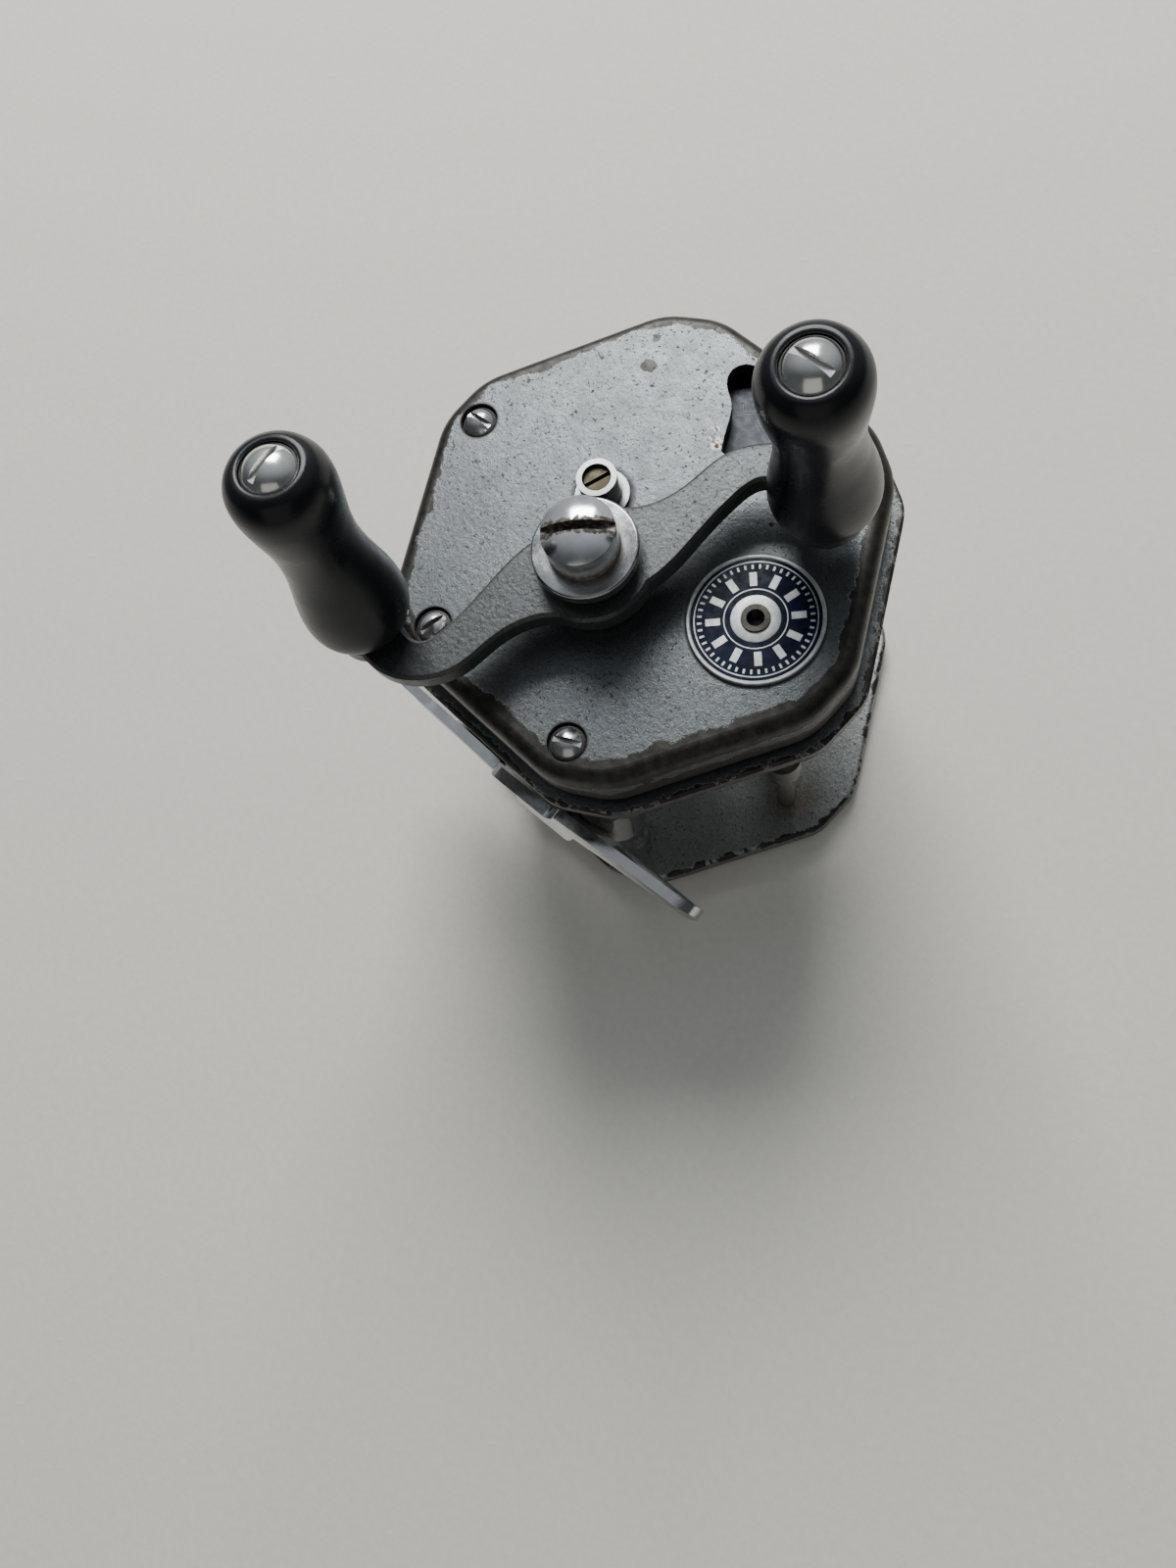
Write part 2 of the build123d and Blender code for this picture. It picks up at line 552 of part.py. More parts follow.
def guide_pawl():
    """The pawl that follows the worm's groove, its tip just off the shaft."""
    length = 2.6
    return Pos(WORM[0], WORM[1] - WORM_RADIUS - 0.15 - length / 2, GUIDE_MIDDLE) * Rot(90, 0, 0) * Cylinder(1.5, length)


def pawl_cap():
    """The slotted cap that holds the pawl in."""
    cap = Pos(WORM[0], WORM[1] - 6.6, GUIDE_MIDDLE) * Rot(90, 0, 0) * Cylinder(2.7, 1.4)
    return cap - Pos(WORM[0], WORM[1] - 7.2, GUIDE_MIDDLE) * Box(6, 0.8, 0.8)


# ---------------------------------------------------------------- write every node

def write_frame():
    """The pieces that stay still."""
    save(cover(), "cover")
    save(head_plate(), "head_plate")
    save(tail_plate(), "tail_plate")
    for name, point in PILLAR_POINTS.items():
        save(pillar(point), name)
    slot_angles = [9, 75, 28, 10]
    screws = [cover_screw(point, angle) for point, angle in zip(PILLAR_POINTS.values(), slot_angles)]
    save(Compound(children=screws), "cover_screws")
    save(Compound(children=[tail_screw(point) for point in PILLAR_POINTS.values()]), "tail_screws")
    save(foot(), "foot")
    save(foot_bracket(), "foot_bracket")
    save(Compound(children=[foot_rivet(across) for across in (-RIVET_SPACING / 2, RIVET_SPACING / 2)]), "foot_rivets")
    save(tube(HEAD_BUSH, SPINDLE_RADIUS + RUNNING, 49.5, 54.8, SPOOL), "spool_bush_head")
    save(tube(HEAD_BUSH, SPINDLE_RADIUS + RUNNING, 1.8, 6.2, SPOOL), "spool_bush_tail")
    save(tail_cap(), "tail_cap")
    save(tube(DRIVE_BUSH, SHAFT_RADIUS + RUNNING, 49.8, 54.4, CRANK), "drive_bush")
    cover_bush = rod(4.5, COVER_INSIDE - 0.6, COVER_TOP, CRANK) + rod(6.4, COVER_TOP, ARM_LOW - 1.8, CRANK)
    save(cover_bush - rod(SHAFT_RADIUS + RUNNING, 60, 70, CRANK), "cover_bush")
    oil_tube = rod(2.4, 61.6, COVER_TOP, SPOOL) + rod(4.0, COVER_TOP, 64.7, SPOOL) + rod(2.9, COVER_TOP, OIL_TOP, SPOOL)
    oil_tube -= rod(SPINDLE_RADIUS + RUNNING, 61, 65, SPOOL) + rod(2.1, 65.8, 71, SPOOL)
    save(oil_tube, "oil_tube")
    save(rod(2.08, 66.4, OIL_TOP - 0.7, SPOOL) - slot_cut(0.6, 1.6, OIL_TOP - 0.3, 70, SPOOL), "oil_screw")
    badge = chamfer(rod(9.5, COVER_TOP, COVER_TOP + 0.7, WORM).faces().sort_by(Axis.Z)[-1].edges(), 0.25)
    save(badge - rod(2.05, COVER_TOP - 1, COVER_TOP + 2, WORM), "badge")
    eyelet = rod(1.6, COVER_INSIDE - 0.2, COVER_TOP + 0.2, WORM) + rod(2.0, COVER_TOP, COVER_TOP + 1.0, WORM)
    save(eyelet - rod(1.25, 60, 70, WORM), "badge_eyelet")
    save(tube(WORM_BUSH, WORM_JOURNAL + RUNNING, 50.2, 54.4, WORM), "worm_bush_head")
    save(tube(WORM_BUSH - 0.5, WORM_JOURNAL + RUNNING, 1.5, 5.8, WORM), "worm_bush_tail")
    save(rod(1.5, 2.0, HEAD_HIGH, GUIDE_BAR), "guide_bar")
    save(idler_pin(), "idler_pin")
    save(dog_pin(), "dog_pin")


def write_moving():
    """The pieces that turn or slide."""
    save(spool(), "spool")
    save(spool_spindle(), "spool_spindle")
    save(spool_pinion(), "spool_pinion")
    save(click_wheel(), "click_wheel")
    save(click_button(), "click_button")
    save(click_pawl(), "click_pawl")
    save(drive_shaft(), "drive_shaft")
    save(ratchet_wheel(), "ratchet_wheel")
    save(tube(6.0, SHAFT_RADIUS, RATCHET_HIGH, GEAR_LOW, CRANK), "drag_washer_fibre")
    save(main_gear(), "main_gear")
    save(tube(6.0, SHAFT_RADIUS, GEAR_HIGH, GEAR_HIGH + 0.8, CRANK), "drag_washer_steel")
    save(crank_arm(), "crank_arm")
    save(crank_collar(), "crank_collar")
    save(crank_cap_screw(), "crank_cap_screw")
    for side, name, slot_angle in ((1, "front", 5), (-1, "rear", 99)):
        save(knob(side), f"knob_{name}")
        save(knob_screw(side, slot_angle), f"knob_screw_{name}")
    save(anti_reverse_dog(), "anti_reverse_dog")
    save(regulator_dial(), "regulator_dial")
    save(worm_shaft(), "worm_shaft")
    save(worm_gear(), "worm_gear")
    save(idler_gear(), "idler_gear")
    save(line_guide(), "line_guide")
    save(guide_pawl(), "guide_pawl")
    save(pawl_cap(), "pawl_cap")


write_frame()
write_moving()
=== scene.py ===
"""Looks for the multiplying fishing reel: materials, the pieces shaped here, floor, light and camera."""
import math

import bmesh
import bpy
from mathutils import Matrix, Vector


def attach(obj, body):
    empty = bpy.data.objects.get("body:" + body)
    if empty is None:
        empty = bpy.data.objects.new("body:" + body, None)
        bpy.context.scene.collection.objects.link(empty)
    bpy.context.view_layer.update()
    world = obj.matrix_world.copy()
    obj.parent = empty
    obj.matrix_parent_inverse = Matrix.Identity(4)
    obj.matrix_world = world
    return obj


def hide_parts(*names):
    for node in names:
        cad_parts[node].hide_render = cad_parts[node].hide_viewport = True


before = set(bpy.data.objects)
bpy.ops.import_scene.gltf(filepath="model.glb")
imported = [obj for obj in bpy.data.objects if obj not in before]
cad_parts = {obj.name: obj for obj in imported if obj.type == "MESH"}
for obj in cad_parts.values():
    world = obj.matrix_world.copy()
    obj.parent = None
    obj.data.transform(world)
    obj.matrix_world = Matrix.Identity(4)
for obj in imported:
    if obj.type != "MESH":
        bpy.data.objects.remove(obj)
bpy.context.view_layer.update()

MM = 0.001

# Axes and sizes of the frame that the looks are placed by, in millimetres
CRANK = (1.7, -8.85)
SPOOL = (-8.0, 1.6)
WORM = (21.7, 1.2)
REGULATOR = (1.5, 21.2)
IDLER = (17.93, -8.06)
SCREWS = ((-31.58, -1.10), (-13.35, -28.64), (13.85, -28.40), (14.84, 27.90))
COVER_FLAT, COVER_CORNER, COVER_LOW, COVER_TOP = 34.0, 36.7, 55.5, 64.0
PLATE_FLAT, PLATE_CORNER = 35.8, 38.5
ARM_TOP = 72.7
KNOB_REACH = (18.6, 25.9)
KNOB_LEAN = (0.0221, -0.0987)
BADGE_RADIUS = 9.5
NUT_SLOT_DEGREES = 44
WEAR_SIDE = (0.637, -0.728)


# ---------------------------------------------------------------- node trees

class Paint:
    """One material's node tree. Positions are in millimetres of the row frame at rest."""

    def __init__(self, name):
        """Starts the material, with self.place as the point being shaded."""
        self.material = bpy.data.materials.new(name)
        self.material.use_nodes = True
        self.tree = self.material.node_tree
        self.shader = self.tree.nodes["Principled BSDF"]
        at_rest = self.add("ShaderNodeTexCoord").outputs["Object"]
        self.place = self.vector("SCALE", at_rest, scale=1000.0)
        split = self.add("ShaderNodeSeparateXYZ")
        self.join(split.inputs[0], self.place)
        self.x, self.y, self.z = split.outputs

    def add(self, kind):
        """A new node."""
        return self.tree.nodes.new(kind)

    def join(self, socket, value):
        """Links a socket to another, or sets it to a number, vector or colour."""
        if isinstance(value, bpy.types.NodeSocket):
            self.tree.links.new(value, socket)
        elif isinstance(value, (tuple, list)) and len(value) == 3 and len(socket.default_value) == 4:
            socket.default_value = (*value, 1.0)
        else:
            socket.default_value = value

    def vector(self, operation, first, second=None, scale=None):
        """The result of a vector operation."""
        node = self.add("ShaderNodeVectorMath")
        node.operation = operation
        self.join(node.inputs[0], first)
        if second is not None:
            self.join(node.inputs[1], second)
        if scale is not None:
            node.inputs["Scale"].default_value = scale
        return node.outputs["Value" if operation in ("DOT_PRODUCT", "LENGTH", "DISTANCE") else "Vector"]

    def math(self, operation, first, second=None, third=None):
        """The result of an operation on numbers."""
        node = self.add("ShaderNodeMath")
        node.operation = operation
        for socket, value in zip(node.inputs, (first, second, third)):
            if value is not None:
                self.join(socket, value)
        return node.outputs[0]

    def plus(self, first, second):
        """The sum of two numbers or sockets."""
        return self.math("ADD", first, second)

    def minus(self, first, second):
        """The first less the second."""
        return self.math("SUBTRACT", first, second)

    def times(self, first, second):
        """The product of two numbers or sockets."""
        return self.math("MULTIPLY", first, second)

    def ramp(self, value, low, high, start=0.0, end=1.0):
        """A smooth step: start at low, end at high. Low may be the larger."""
        node = self.add("ShaderNodeMapRange")
        node.interpolation_type = "SMOOTHSTEP"
        for socket, number in zip(node.inputs, (value, low, high, start, end)):
            self.join(socket, number)
        return node.outputs[0]

    def noise(self, size, detail=3.0, roughness=0.55, stretch=None):
        """Fractal noise around 0.5 with features of that size in millimetres."""
        node = self.add("ShaderNodeTexNoise")
        place = self.place if stretch is None else self.vector("MULTIPLY", self.place, stretch)
        self.join(node.inputs["Vector"], place)
        node.inputs["Scale"].default_value = 1.0 / size
        node.inputs["Detail"].default_value = detail
        node.inputs["Roughness"].default_value = roughness
        return node.outputs[0]

    def mix(self, amount, first, second):
        """A colour between two: the first at 0, the second at 1."""
        node = self.add("ShaderNodeMix")
        node.data_type = "RGBA"
        for index, value in ((0, amount), (6, first), (7, second)):
            self.join(node.inputs[index], value)
        return node.outputs[2]

    def scaled(self, colour, amount):
        """A colour made brighter or darker by a number."""
        return self.vector("MULTIPLY", colour, self.grey(amount))

    def grey(self, value):
        """A colour with the same number in each channel."""
        node = self.add("ShaderNodeCombineXYZ")
        for socket in node.inputs:
            self.join(socket, value)
        return node.outputs[0]

    def any_of(self, *masks):
        """The strongest of several masks."""
        total = masks[0]
        for mask in masks[1:]:
            total = self.math("MAXIMUM", total, mask)
        return total

    def both(self, first, second):
        """Where two masks overlap."""
        return self.times(first, second)

    def away_from(self, centre, wander=0.0, size=1.0):
        """Distance in plan from a point, made ragged by noise."""
        across = self.minus(self.x, centre[0])
        up = self.minus(self.y, centre[1])
        reach = self.math("SQRT", self.plus(self.times(across, across), self.times(up, up)))
        if not wander:
            return reach
        shift = self.times(self.minus(self.noise(size), 0.5), 2 * wander)
        return self.plus(reach, shift)

    def spot(self, centre, radius, wander, soft=0.15):
        """1 inside a ragged round mark."""
        return self.ramp(self.away_from(centre, wander, 1.1), radius + soft, radius - soft)

    def ring(self, centre, radius, spread, wander=0.3):
        """1 at a radius, fading outwards over the spread."""
        return self.ramp(self.away_from(centre, wander, 1.3), radius + spread, radius)

    def line(self, start, end, width):
        """1 along a straight mark between two points in plan."""
        length = math.dist(start, end)
        along = ((end[0] - start[0]) / length, (end[1] - start[1]) / length)
        dx = self.minus(self.x, start[0])
        dy = self.minus(self.y, start[1])
        run = self.plus(self.times(dx, along[0]), self.times(dy, along[1]))
        side = self.minus(self.times(dx, along[1]), self.times(dy, along[0]))
        inside = self.both(self.ramp(run, -0.1, 0.1), self.ramp(run, length + 0.1, length - 0.1))
        return self.both(inside, self.ramp(self.math("ABSOLUTE", side), width, 0.6 * width))

    def rim_distance(self, flat, corner):
        """How far inside the twelve-sided outline a point lies."""
        radius = self.away_from((0, 0))
        angle = self.math("ARCTAN2", self.y, self.x)
        sixth = math.radians(30)
        reach = []
        for turn, side in ((-sixth, flat), (0.0, corner)):
            fold = self.math("WRAP", self.plus(angle, turn), sixth, -sixth)
            reach.append(self.minus(side, self.times(radius, self.math("COSINE", fold))))
        return self.math("MINIMUM", *reach)

    def edge_distance(self, flat, corner, low, top):
        """How far a point lies from the nearer long edge of a plate, over its face or down its wall."""
        inside = self.math("MAXIMUM", self.rim_distance(flat, corner), 0.0)
        over = self.math("MINIMUM", self.minus(top, self.z), self.minus(self.z, low))
        return self.plus(inside, self.math("MAXIMUM", over, 0.0))

    def sharp_edge(self, radius):
        """1 on edges that stand out, from the true normal against a rounded one."""
        rounded = self.add("ShaderNodeBevel")
        rounded.samples = 4
        rounded.inputs["Radius"].default_value = radius * MM
        true = self.add("ShaderNodeNewGeometry").outputs["Normal"]
        return self.ramp(self.vector("DOT_PRODUCT", rounded.outputs[0], true), 0.995, 0.93)

    def hollow_shade_and_dirt(self, reach):
        """1 in slots, corners and under heads, from ambient occlusion; the darkening drawn with it is
        painted shade as well as dirt.
        """
        closed = self.add("ShaderNodeAmbientOcclusion")
        closed.samples = 6
        closed.inputs["Distance"].default_value = reach * MM
        return self.ramp(closed.outputs["AO"], 0.85, 0.35)

    def upright(self):
        """1 on walls that stand along the spindles."""
        normal = self.add("ShaderNodeSeparateXYZ")
        self.join(normal.inputs[0], self.add("ShaderNodeNewGeometry").outputs["Normal"])
        return self.ramp(self.math("ABSOLUTE", normal.outputs[2]), 0.5, 0.2)

    def finish(self, colour, roughness, metallic, height=None, depth=0.02, **uniform):
        """Joins the results to the shader. depth is the height of the bump in millimetres."""
        self.join(self.shader.inputs["Base Color"], colour)
        self.join(self.shader.inputs["Roughness"], roughness)
        self.join(self.shader.inputs["Metallic"], metallic)
        if height is not None:
            bump = self.add("ShaderNodeBump")
            bump.inputs["Distance"].default_value = depth * MM
            self.join(bump.inputs["Height"], height)
            self.join(self.shader.inputs["Normal"], bump.outputs[0])
        for name, value in uniform.items():
            self.shader.inputs[name.replace("_", " ")].default_value = value
        return self.material


# ---------------------------------------------------------------- materials

ENAMEL = (0.125, 0.133, 0.137)
BARE = (0.036, 0.034, 0.030)
LIP = (0.34, 0.34, 0.33)
# Dark brown for dirt, and for painted shade in hollows and round the feet of parts.
GRIME_AND_SHADE = (0.020, 0.018, 0.015)
RUST = (0.030, 0.018, 0.010)
PALE_SCALE = (0.34, 0.33, 0.30)
STEEL = (0.46, 0.45, 0.44)
BRASS = (0.55, 0.40, 0.17)
BRONZE = (0.40, 0.25, 0.12)


def enamel_base(paint, colour):
    """Silver-grey hammered paint: fine metal flake, soft dimples and slow changes of tone."""
    flake = paint.noise(0.26, 2.0, 0.8)
    dimple = paint.noise(0.70, 2.0, 0.5)
    cloud = paint.noise(9.0, 3.0, 0.5)
    tone = paint.plus(paint.ramp(flake, 0.34, 0.68, 0.80, 1.22), paint.ramp(dimple, 0.3, 0.7, -0.05, 0.05))
    tone = paint.times(tone, paint.ramp(cloud, 0.3, 0.7, 0.92, 1.05))
    height = paint.plus(paint.times(flake, 0.6), dimple)
    return paint.scaled(colour, tone), height


def worn_enamel(paint, colour, wear, grime_and_shade, patch=None):
    """Enamel over metal.

    wear is a soft number that is 1 deep in a chip; the next mask is 1 where dirt has settled and where
    shade is painted in, in hollows and round the feet of parts; and patch, if given, is 1 where the surface
    is broken up into pale scale and rust.
    """
    base, height = enamel_base(paint, colour)
    chip = paint.ramp(wear, 0.42, 0.50)
    lip = paint.both(paint.ramp(wear, 0.36, 0.44), paint.ramp(wear, 0.56, 0.48))
    metal = paint.scaled(BARE, paint.ramp(paint.noise(1.6, 5.0), 0.3, 0.7, 0.70, 1.45))
    tone = paint.mix(chip, base, metal)
    tone = paint.mix(paint.times(lip, 0.65), tone, LIP)
    # Dirt and painted shade from the mask, broken up by noise, with scattered dark pits.
    dirt_and_shade = paint.times(grime_and_shade, paint.ramp(paint.noise(1.3, 4.0), 0.25, 0.6, 0.45, 0.95))
    dirt_and_shade = paint.any_of(dirt_and_shade, paint.ramp(paint.noise(0.55, 3.0, 0.65), 0.605, 0.650, 0.0, 0.8))
    tone = paint.mix(dirt_and_shade, tone, GRIME_AND_SHADE)
    if patch is not None:
        scale = paint.mix(paint.ramp(paint.noise(0.8, 4.0, 0.7), 0.44, 0.56), RUST, PALE_SCALE)
        tone = paint.mix(patch, tone, scale)
    rough = paint.plus(paint.ramp(paint.noise(2.5), 0.3, 0.7, 0.34, 0.43), paint.times(chip, 0.03))
    rough = paint.plus(rough, paint.times(dirt_and_shade, 0.3))
    metallic = paint.minus(0.80, paint.times(dirt_and_shade, 0.65))
    height = paint.times(height, paint.minus(1.0, paint.times(chip, 0.75)))
    height = paint.minus(height, paint.times(chip, 2.6))
    return paint.finish(tone, rough, metallic, height, 0.045)


def ragged(paint, distance, width, size=4.5):
    """A soft number over 0.5 within a ragged width of an edge, for use as wear."""
    shift = paint.times(paint.minus(paint.noise(size, 6.0, 0.6), 0.5), 4.0)
    near = paint.minus(width, paint.plus(distance, shift))
    return paint.ramp(near, -1.0, 1.0)


def cover_enamel():
    """The cover: edges worn through all round, most towards the front, chips, and dark rings of dirt and
    painted shade round the feet of parts.
    """
    paint = Paint("head_enamel_cover")
    inside = paint.rim_distance(COVER_FLAT, COVER_CORNER)
    front = paint.plus(paint.times(paint.x, WEAR_SIDE[0] / 36),
                       paint.times(paint.y, WEAR_SIDE[1] / 36))
    width = paint.ramp(front, 0.0, 0.95, 2.4, 3.4)
    marks = [paint.spot((-17.3, 21.2), 1.15, 0.8), paint.spot((-19.6, 25.3), 0.7, 1.0),
             paint.spot((13.8, 13.2), 0.45, 0.5), paint.spot((24.3, -24.4), 1.0, 1.2),
             paint.spot((31.3, -16.5), 0.9, 1.2), paint.spot((-30.2, 8.4), 0.6, 0.9)]
    flecks = paint.ramp(paint.noise(2.2, 5.0, 0.7), 0.675, 0.695)
    rim = ragged(paint, paint.edge_distance(COVER_FLAT, COVER_CORNER, COVER_LOW, COVER_TOP), width)
    wear = paint.any_of(rim, paint.times(paint.any_of(*marks, flecks), 0.8))
    # Dark rings round the crank bush, oil tube, badge and screws: dirt, and painted shade where each stands
    # on the cover.
    rings = [paint.ring(CRANK, 6.5, 1.6), paint.ring(SPOOL, 4.1, 1.1),
             paint.ring(WORM, BADGE_RADIUS, 0.5, 0.15)]
    rings += [paint.ring(screw, 2.7, 0.55, 0.2) for screw in SCREWS]
    # The upright walls of the window and holes, darkened as painted shade.
    hole_wall_shade = paint.both(paint.upright(), paint.ramp(inside, 1.6, 2.0))
    scuff = paint.any_of(paint.spot((-1.0, 17.8), 1.1, 2.4, 0.3), paint.spot((-2.3, 19.6), 0.4, 1.6, 0.3))
    # The outer wall darkened towards its foot by the head plate: painted shade.
    walls = paint.times(paint.ramp(paint.z, 62.0, COVER_LOW), 0.45)
    return worn_enamel(paint, ENAMEL, wear, paint.any_of(*rings, hole_wall_shade, walls), scuff)


def plate_enamel(name, colour, low, top):
    """The head and tail plates: duller enamel, worn along the outline, with a stain on the front corner."""
    paint = Paint(name)
    wear = ragged(paint, paint.edge_distance(PLATE_FLAT, PLATE_CORNER, low, top), 0.7, 2.6)
    # Drawn darker towards the foot of the side wall, and in a faint ring round the spool's rim.
    below = paint.times(paint.ramp(paint.z, top, top - 1.5), 0.25)
    stain = paint.times(paint.spot((31.0, -4.0), 3.5, 5.0, 2.5), 0.6)
    grime_and_shade = paint.any_of(below, paint.times(paint.ring(SPOOL, 20.0, 3.0, 1.0), 0.10))
    rust = paint.mix(stain, colour, (0.16, 0.10, 0.05))
    return worn_enamel(paint, rust, wear, grime_and_shade)


def arm_enamel():
    """The crank arm: the same paint, rubbed through along its edges, and darkened round the collar by dirt
    and by painted shade under the collar.
    """
    paint = Paint("head_enamel_arm")
    edge = paint.sharp_edge(0.55)
    patches = paint.ramp(paint.noise(1.6, 5.0, 0.65), 0.3, 0.8, 0.0, 0.42)
    rub = paint.plus(paint.times(edge, 0.55), patches)
    # Dark ring round the collar: painted shade under its flange, and dirt; also darkening in hollows.
    dirt_and_shade = paint.any_of(paint.ring(CRANK, 5.6, 2.6, 0.7), paint.times(paint.hollow_shade_and_dirt(1.5), 0.5))
    return worn_enamel(paint, (0.080, 0.084, 0.085), rub, dirt_and_shade)


def bush_enamel():
    """The boss under the crank: painted, and drawn near black: old oil, and painted shade under the crank
    arm.
    """
    paint = Paint("head_enamel_bush")
    rub = paint.ramp(paint.noise(1.2, 5.0), 0.35, 0.85, 0.0, 0.6)
    dirt_and_shade = paint.ramp(paint.noise(2.0, 4.0), 0.25, 0.6, 0.35, 0.95)
    return worn_enamel(paint, (0.06, 0.062, 0.062), rub, dirt_and_shade)


def plating(name, tone=0.62, shine=0.05, dull=0.15, dirt_and_shade_reach=0.9, dirt_and_shade=0.9, slot_line=None, warm=0.0):
    """Bright plate: faint scratches, cloudy patches, pin-head pits, and dirt and painted shade where cloths
    can't reach.
    """
    paint = Paint(name)
    scratch = paint.noise(0.09, 2.0, 0.7, (0.08, 1.0, 1.0))
    cross = paint.noise(0.11, 2.0, 0.7, (1.0, 0.10, 0.6))
    cloud = paint.noise(3.0, 4.0, 0.6)
    pits = paint.ramp(paint.noise(0.45, 3.0, 0.6), 0.70, 0.76)
    grime_and_shade = paint.times(paint.hollow_shade_and_dirt(dirt_and_shade_reach), dirt_and_shade)
    if slot_line:
        grime_and_shade = paint.any_of(grime_and_shade, slot_line(paint))
    grime_and_shade = paint.times(grime_and_shade, paint.ramp(paint.noise(0.7, 4.0), 0.2, 0.6, 0.6, 1.0))
    bright = (tone, tone * (1 - 0.05 * warm), tone * (1 - 0.22 * warm))
    colour = paint.scaled(bright, paint.ramp(cloud, 0.3, 0.7, 0.90, 1.03))
    colour = paint.mix(paint.times(pits, 0.7), colour, (0.10, 0.08, 0.06))
    colour = paint.mix(grime_and_shade, colour, (0.045, 0.030, 0.018))
    rough = paint.plus(paint.ramp(cloud, 0.35, 0.75, shine, dull), paint.times(grime_and_shade, 0.45))
    rough = paint.plus(rough, paint.ramp(scratch, 0.5, 0.75, 0.0, 0.06))
    metallic = paint.minus(1.0, paint.times(grime_and_shade, 0.85))
    height = paint.plus(paint.times(scratch, 0.5), paint.times(cross, 0.5))
    height = paint.minus(height, paint.times(pits, 1.2))
    return paint.finish(colour, rough, metallic, height, 0.0025)


def cap_slot_shade_and_reflection(paint):
    """Painted shade along the lips of the crank nut's slot, making the slot read wider, and a painted dark
    reflection round the foot of its wall.
    """
    slot = math.radians(NUT_SLOT_DEGREES)
    dx = paint.minus(paint.x, CRANK[0])
    dy = paint.minus(paint.y, CRANK[1])
    side = paint.minus(paint.times(dy, math.cos(slot)), paint.times(dx, math.sin(slot)))
    shift = paint.times(paint.minus(paint.noise(0.9, 5.0, 0.7), 0.5), 2.6)
    near = paint.plus(paint.math("ABSOLUTE", side), shift)
    slot_lip_shade = paint.both(paint.ramp(near, 1.30, 1.08), paint.ramp(paint.z, ARM_TOP + 7.2, ARM_TOP + 8.2))
    # The darker foot of the nut's wall is painted dark reflection.
    return paint.any_of(slot_lip_shade, paint.ramp(paint.z, ARM_TOP + 7.6, ARM_TOP + 5.0, 0.0, 0.9))


def turned_metal(name, colour, rough, axis, pitch=0.35, groove=0.004, dirt_and_shade=0.35, mottle=0.22):
    """Lathe-turned metal: fine rings about its own axis, with tarnish, and dirt and painted shade in
    hollows.
    """
    paint = Paint(name)
    reach = paint.away_from(axis)
    ridge = paint.math("SINE", paint.times(reach, 2 * math.pi / pitch))
    wall = paint.math("SINE", paint.times(paint.z, 2 * math.pi / pitch))
    cloud = paint.noise(4.0, 4.0, 0.6)
    grime_and_shade = paint.times(paint.hollow_shade_and_dirt(1.2), dirt_and_shade)
    tone = paint.scaled(colour, paint.ramp(cloud, 0.3, 0.7, 1.0 - mottle, 1.0 + 0.4 * mottle))
    tone = paint.mix(grime_and_shade, tone, GRIME_AND_SHADE)
    dull = paint.plus(paint.ramp(paint.noise(1.2), 0.3, 0.7, rough - 0.06, rough + 0.10),
                      paint.times(grime_and_shade, 0.3))
    height = paint.plus(paint.plus(ridge, wall), paint.times(paint.noise(0.3), 1.5))
    return paint.finish(tone, dull, 1.0, height, groove)


def black_thermoset():
    """Black knob moulding: a soft gloss with hairlines, dust and a duller base."""
    paint = Paint("black_knob")
    hair = paint.ramp(paint.noise(0.12, 2.0, 0.6, (1.0, 1.0, 0.12)), 0.60, 0.72)
    dust = paint.ramp(paint.noise(0.22, 3.0, 0.7), 0.70, 0.74)
    cloud = paint.noise(5.0, 3.0, 0.5)
    base = paint.ramp(paint.z, ARM_TOP + 7, ARM_TOP + 1)
    tone = paint.mix(paint.times(dust, 0.25), (0.0045, 0.0050, 0.0070), (0.10, 0.10, 0.095))
    tone = paint.mix(paint.times(base, 0.10), tone, (0.06, 0.055, 0.05))
    rough = paint.plus(paint.ramp(cloud, 0.35, 0.7, 0.24, 0.34), paint.times(hair, 0.06))
    rough = paint.plus(rough, paint.times(base, 0.12))
    height = paint.plus(paint.times(paint.noise(1.5, 2.0), 1.0), paint.times(hair, -0.08))
    return paint.finish(tone, rough, 0.0, height, 0.012, Specular_IOR_Level=0.34)


def badge_enamel():
    """Deep navy enamel with a faintly uneven surface and a few specks."""
    paint = Paint("badge_enamel")
    speck = paint.ramp(paint.noise(0.3, 3.0, 0.7), 0.72, 0.76)
    tone = paint.scaled((0.0055, 0.0095, 0.024), paint.ramp(paint.noise(2.4), 0.3, 0.7, 0.7, 1.4))
    tone = paint.mix(paint.times(speck, 0.6), tone, (0.25, 0.24, 0.22))
    rough = paint.ramp(paint.noise(1.5, 4.0), 0.3, 0.7, 0.12, 0.22)
    return paint.finish(tone, rough, 0.0, paint.noise(0.8, 2.0), 0.01, Specular_IOR_Level=0.3)


def badge_metal():
    """The badge's raised metal: soft white nickel, brushed by years of wiping, darkened in the low places
    by dirt and painted shade.
    """
    paint = Paint("badge_metal")
    brushed = paint.noise(0.10, 2.0, 0.7, (0.2, 1.0, 1.0))
    tone = paint.scaled((0.58, 0.59, 0.58), paint.ramp(paint.noise(1.4, 5.0, 0.65), 0.3, 0.7, 0.72, 1.12))
    tone = paint.mix(paint.times(paint.hollow_shade_and_dirt(0.3), 0.35), tone, GRIME_AND_SHADE)
    rough = paint.ramp(brushed, 0.3, 0.7, 0.38, 0.52)
    return paint.finish(tone, rough, 0.55, brushed, 0.004)


